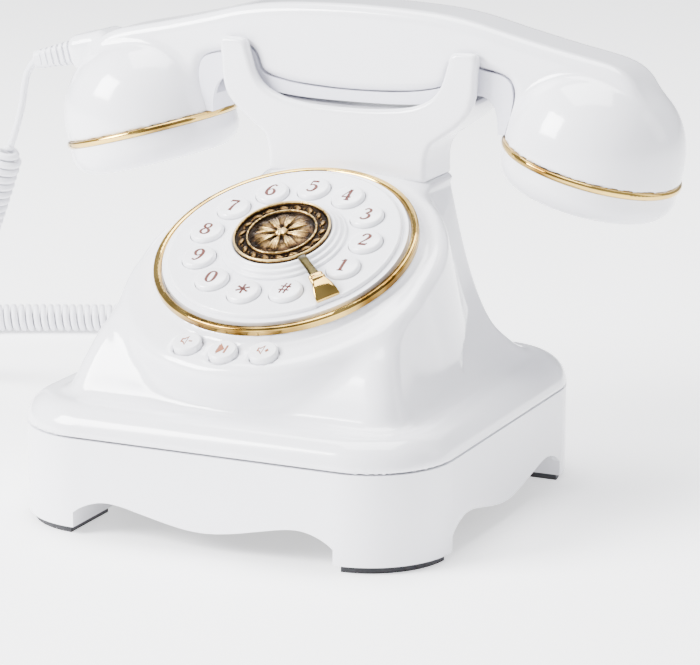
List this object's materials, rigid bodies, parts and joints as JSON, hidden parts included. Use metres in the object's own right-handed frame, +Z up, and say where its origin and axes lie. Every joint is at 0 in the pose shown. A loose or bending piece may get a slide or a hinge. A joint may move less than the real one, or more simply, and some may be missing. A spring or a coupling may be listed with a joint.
{
  "type": "desk telephone",
  "caption": "Retro desk telephone with a ring of push keys on a tilted dial, a pronged cradle, a lift-off handset and a curly cord.",
  "frame": {"origin": "centre of the square base on the surface that the telephone stands on", "axes": "+Z up, -Y towards the user (the dial's side), +X to the user's right, along the handset"},
  "size_m": [0.3681, 0.2788, 0.1692],
  "materials": {
    "shell_white": "polished",
    "gold_trim": "polished",
    "medallion_bronze": "antique, low relief",
    "key_white": "polished",
    "foot_rubber": "matt",
    "dark_plastic": "fine matt",
    "screw_steel": "plain",
    "circuit_board": "solder mask",
    "dome_rubber": "matt",
    "cord_white": "satin",
    "battery_wrap": "satin wrap",
    "grip_white": "satin"
  },
  "bodies": {
    "base": {"lower_skirt": "shell_white", "rubber_feet": "foot_rubber", "base_plate": "dark_plastic", "base_screws": "screw_steel", "upper_housing": "shell_white", "dial_plate": "shell_white", "dial_trim_ring": "gold_trim", "dial_hub": "gold_trim", "dial_medallion": "medallion_bronze", "finger_stop": "gold_trim", "key_domes": "dome_rubber", "key_circuit_board": "circuit_board", "key_board_spacers": "dark_plastic", "dial_screws": "screw_steel", "function_domes": "dome_rubber", "function_board": "circuit_board", "cradle": "shell_white", "cradle_screws": "screw_steel", "hook_springs": "screw_steel", "hook_switches": "dark_plastic", "handset_lead": "cord_white", "curly_cord": "cord_white", "base_lead": "cord_white", "main_circuit_board": "circuit_board", "board_screws": "screw_steel", "handset_jack": "dark_plastic", "cord_plug": "cord_white", "charging_port": "screw_steel", "battery_pack": "battery_wrap", "loudspeaker": "dark_plastic"},
    "key_1_body": {"key_1": "key_white"},
    "key_2_body": {"key_2": "key_white"},
    "key_3_body": {"key_3": "key_white"},
    "key_4_body": {"key_4": "key_white"},
    "key_5_body": {"key_5": "key_white"},
    "key_6_body": {"key_6": "key_white"},
    "key_7_body": {"key_7": "key_white"},
    "key_8_body": {"key_8": "key_white"},
    "key_9_body": {"key_9": "key_white"},
    "key_0_body": {"key_0": "key_white"},
    "key_star_body": {"key_star": "key_white"},
    "key_hash_body": {"key_hash": "key_white"},
    "volume_down_button_body": {"volume_down_button": "key_white"},
    "play_button_body": {"play_button": "key_white"},
    "volume_up_button_body": {"volume_up_button": "key_white"},
    "hook_plunger_left_body": {"hook_plunger_left": "key_white"},
    "hook_plunger_right_body": {"hook_plunger_right": "key_white"},
    "handset": {"handset_shell": "shell_white", "handset_grip_cover": "grip_white", "handset_screws": "screw_steel", "handset_weight": "screw_steel", "ear_ring": "gold_trim", "ear_cap": "shell_white", "mouth_ring": "gold_trim", "mouth_cap": "shell_white", "ear_speaker": "dark_plastic", "microphone": "dark_plastic", "handset_strain_relief": "cord_white"}
  },
  "joints": [
    {"name": "key_1_press", "type": "slide", "parent": "base", "child": "key_1_body", "axis": [0, 0.4289, -0.9033], "range_m": [0, 0.0015], "stiffness_N_per_m": 600, "springref_m": -0.0003, "deforming": ["key_domes"]},
    {"name": "key_2_press", "type": "slide", "parent": "base", "child": "key_2_body", "axis": [0, 0.4289, -0.9033], "range_m": [0, 0.0015], "stiffness_N_per_m": 600, "springref_m": -0.0003, "deforming": ["key_domes"]},
    {"name": "key_3_press", "type": "slide", "parent": "base", "child": "key_3_body", "axis": [0, 0.4289, -0.9033], "range_m": [0, 0.0015], "stiffness_N_per_m": 600, "springref_m": -0.0003, "deforming": ["key_domes"]},
    {"name": "key_4_press", "type": "slide", "parent": "base", "child": "key_4_body", "axis": [0, 0.4289, -0.9033], "range_m": [0, 0.0015], "stiffness_N_per_m": 600, "springref_m": -0.0003, "deforming": ["key_domes"]},
    {"name": "key_5_press", "type": "slide", "parent": "base", "child": "key_5_body", "axis": [0, 0.4289, -0.9033], "range_m": [0, 0.0015], "stiffness_N_per_m": 600, "springref_m": -0.0003, "deforming": ["key_domes"]},
    {"name": "key_6_press", "type": "slide", "parent": "base", "child": "key_6_body", "axis": [0, 0.4289, -0.9033], "range_m": [0, 0.0015], "stiffness_N_per_m": 600, "springref_m": -0.0003, "deforming": ["key_domes"]},
    {"name": "key_7_press", "type": "slide", "parent": "base", "child": "key_7_body", "axis": [0, 0.4289, -0.9033], "range_m": [0, 0.0015], "stiffness_N_per_m": 600, "springref_m": -0.0003, "deforming": ["key_domes"]},
    {"name": "key_8_press", "type": "slide", "parent": "base", "child": "key_8_body", "axis": [0, 0.4289, -0.9033], "range_m": [0, 0.0015], "stiffness_N_per_m": 600, "springref_m": -0.0003, "deforming": ["key_domes"]},
    {"name": "key_9_press", "type": "slide", "parent": "base", "child": "key_9_body", "axis": [0, 0.4289, -0.9033], "range_m": [0, 0.0015], "stiffness_N_per_m": 600, "springref_m": -0.0003, "deforming": ["key_domes"]},
    {"name": "key_0_press", "type": "slide", "parent": "base", "child": "key_0_body", "axis": [0, 0.4289, -0.9033], "range_m": [0, 0.0015], "stiffness_N_per_m": 600, "springref_m": -0.0003, "deforming": ["key_domes"]},
    {"name": "key_star_press", "type": "slide", "parent": "base", "child": "key_star_body", "axis": [0, 0.4289, -0.9033], "range_m": [0, 0.0015], "stiffness_N_per_m": 600, "springref_m": -0.0003, "deforming": ["key_domes"]},
    {"name": "key_hash_press", "type": "slide", "parent": "base", "child": "key_hash_body", "axis": [0, 0.4289, -0.9033], "range_m": [0, 0.0015], "stiffness_N_per_m": 600, "springref_m": -0.0003, "deforming": ["key_domes"]},
    {"name": "volume_down_button_press", "type": "slide", "parent": "base", "child": "volume_down_button_body", "axis": [0, 0.4289, -0.9033], "range_m": [0, 0.0012], "stiffness_N_per_m": 600, "springref_m": -0.0003, "deforming": ["function_domes"]},
    {"name": "play_button_press", "type": "slide", "parent": "base", "child": "play_button_body", "axis": [0, 0.4289, -0.9033], "range_m": [0, 0.0012], "stiffness_N_per_m": 600, "springref_m": -0.0003, "deforming": ["function_domes"]},
    {"name": "volume_up_button_press", "type": "slide", "parent": "base", "child": "volume_up_button_body", "axis": [0, 0.4289, -0.9033], "range_m": [0, 0.0012], "stiffness_N_per_m": 600, "springref_m": -0.0003, "deforming": ["function_domes"]},
    {"name": "handset_lift", "type": "slide", "parent": "base", "child": "handset", "axis": [0, 0, 1], "range_m": [0, 0.06]},
    {"name": "hook_plunger_left_slide", "type": "slide", "parent": "base", "child": "hook_plunger_left_body", "axis": [0, 0, 1], "range_m": [0, 0.003], "deforming": ["hook_springs"]},
    {"name": "hook_plunger_right_slide", "type": "slide", "parent": "base", "child": "hook_plunger_right_body", "axis": [0, 0, 1], "range_m": [0, 0.003], "deforming": ["hook_springs"]}
  ],
  "couplings": [
    {"joint": "hook_plunger_left_slide", "follows": "handset_lift", "ratio": 0.05},
    {"joint": "hook_plunger_right_slide", "follows": "handset_lift", "ratio": 0.05}
  ]
}
